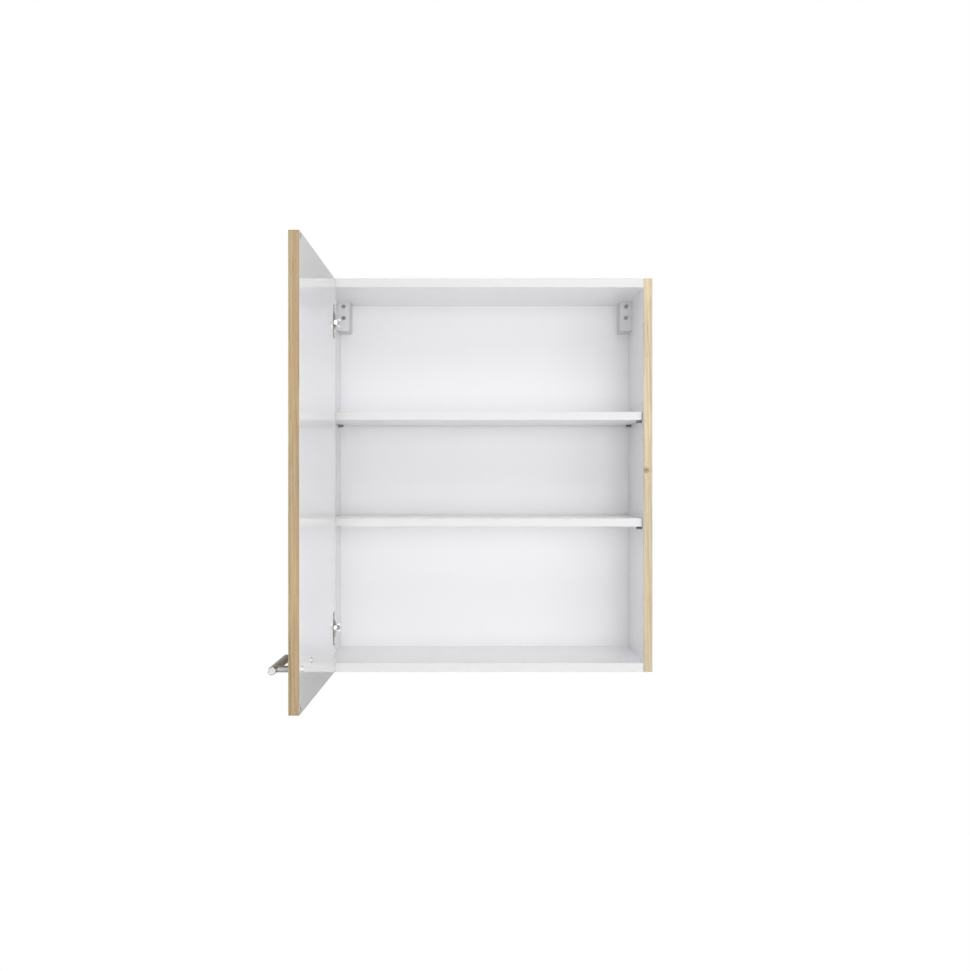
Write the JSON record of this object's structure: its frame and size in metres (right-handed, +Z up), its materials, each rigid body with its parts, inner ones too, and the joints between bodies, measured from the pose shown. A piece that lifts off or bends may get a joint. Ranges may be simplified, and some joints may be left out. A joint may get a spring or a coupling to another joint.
{
  "type": "hanging wall cabinet",
  "caption": "Wall-hung cabinet with a side-hinged door on concealed cup hinges, loose shelves on pins, a bar handle and corner hangers.",
  "frame": {"origin": "middle of the four wall screw holes, on the wall plane", "axes": "+X to the right when facing the cabinet, +Y towards the wall, +Z up"},
  "size_m": [0.614, 0.933, 0.704],
  "materials": {
    "side_board": "oak decor outside, white inside, satin",
    "white_board": "white melamine, satin",
    "door_board": "oak decor front, white inner face, satin",
    "back_board": "white lacquered hardboard",
    "oak_band": "oak decor edge band, satin",
    "white_band": "white edge band, satin",
    "beech": "fluted beech, matt",
    "nickel": "nickel plated, satin",
    "zinc": "zinc plated, matt",
    "stainless": "brushed stainless steel",
    "screw_steel": "nickel plated screw steel",
    "pin_steel": "dark nickel plated",
    "hanger_plastic": "light grey plastic, matt",
    "white_plastic": "white plastic, matt",
    "bumper_plastic": "clear soft plastic"
  },
  "bodies": {
    "carcass": {"left_side_panel": "side_board", "right_side_panel": "side_board", "top_panel": "white_board", "bottom_panel": "white_board", "back_panel": "back_board", "left_side_edge_band": "oak_band", "right_side_edge_band": "oak_band", "top_edge_band": "white_band", "bottom_edge_band": "white_band", "carcass_dowels": "beech", "cam_bolts": "screw_steel", "cam_locks": "zinc", "cam_covers": "white_plastic", "left_wall_plate": "zinc", "right_wall_plate": "zinc", "left_hanger_housing": "hanger_plastic", "right_hanger_housing": "hanger_plastic", "left_hanger_hook": "zinc", "right_hanger_hook": "zinc", "hanger_height_screws": "screw_steel", "hanger_depth_screws": "screw_steel", "hanger_pegs": "white_plastic", "upper_shelf_pins": "pin_steel", "lower_shelf_pins": "pin_steel", "upper_hinge_plate": "nickel", "lower_hinge_plate": "nickel", "hinge_plate_screws": "screw_steel", "upper_hinge_arm": "nickel", "lower_hinge_arm": "nickel", "hinge_fixing_screws": "screw_steel", "hinge_side_screws": "screw_steel", "hinge_leaf_springs": "pin_steel", "hinge_arm_pins": "screw_steel"},
    "outer_links": {"upper_outer_link": "nickel", "lower_outer_link": "nickel"},
    "inner_links": {"upper_inner_link": "nickel", "lower_inner_link": "nickel", "inner_link_pins": "screw_steel"},
    "door": {"upper_hinge_cup": "nickel", "lower_hinge_cup": "nickel", "hinge_cup_pins": "screw_steel", "hinge_cup_screws": "screw_steel", "door_board": "door_board", "door_hinge_edge_band": "oak_band", "door_free_edge_band": "oak_band", "door_top_edge_band": "oak_band", "door_bottom_edge_band": "oak_band", "handle_bar": "stainless", "handle_posts": "stainless", "handle_screws": "screw_steel", "door_bumpers": "bumper_plastic"},
    "upper_shelf": {"upper_shelf": "white_board", "upper_shelf_edge_band": "white_band"},
    "lower_shelf": {"lower_shelf": "white_board", "lower_shelf_edge_band": "white_band"}
  },
  "joints": [
    {"name": "outer_link_swing", "type": "hinge", "parent": "carcass", "child": "outer_links", "pos_m": [-0.2692, -0.3197, -0.284], "axis": [0, 0, 1], "range_deg": [-41.3, 6.9]},
    {"name": "door_swing", "type": "hinge", "parent": "outer_links", "child": "door", "pos_m": [-0.2709, -0.3467, -0.284], "axis": [0, 0, -1], "range_deg": [-131.24, 21.8]},
    {"name": "inner_link_swing", "type": "hinge", "parent": "carcass", "child": "inner_links", "pos_m": [-0.2638, -0.3308, -0.284], "axis": [0, 0, 1], "range_deg": [-38.8, 6.5]},
    {"name": "upper_shelf_lift", "type": "slide", "parent": "carcass", "child": "upper_shelf", "axis": [0, 0, 1], "range_m": [0, 0.12]},
    {"name": "lower_shelf_lift", "type": "slide", "parent": "carcass", "child": "lower_shelf", "axis": [0, 0, 1], "range_m": [0, 0.12]}
  ],
  "couplings": [
    {"joint": "outer_link_swing", "follows": "door_swing", "ratio": 0.31427},
    {"joint": "inner_link_swing", "follows": "door_swing", "ratio": 0.29489}
  ]
}
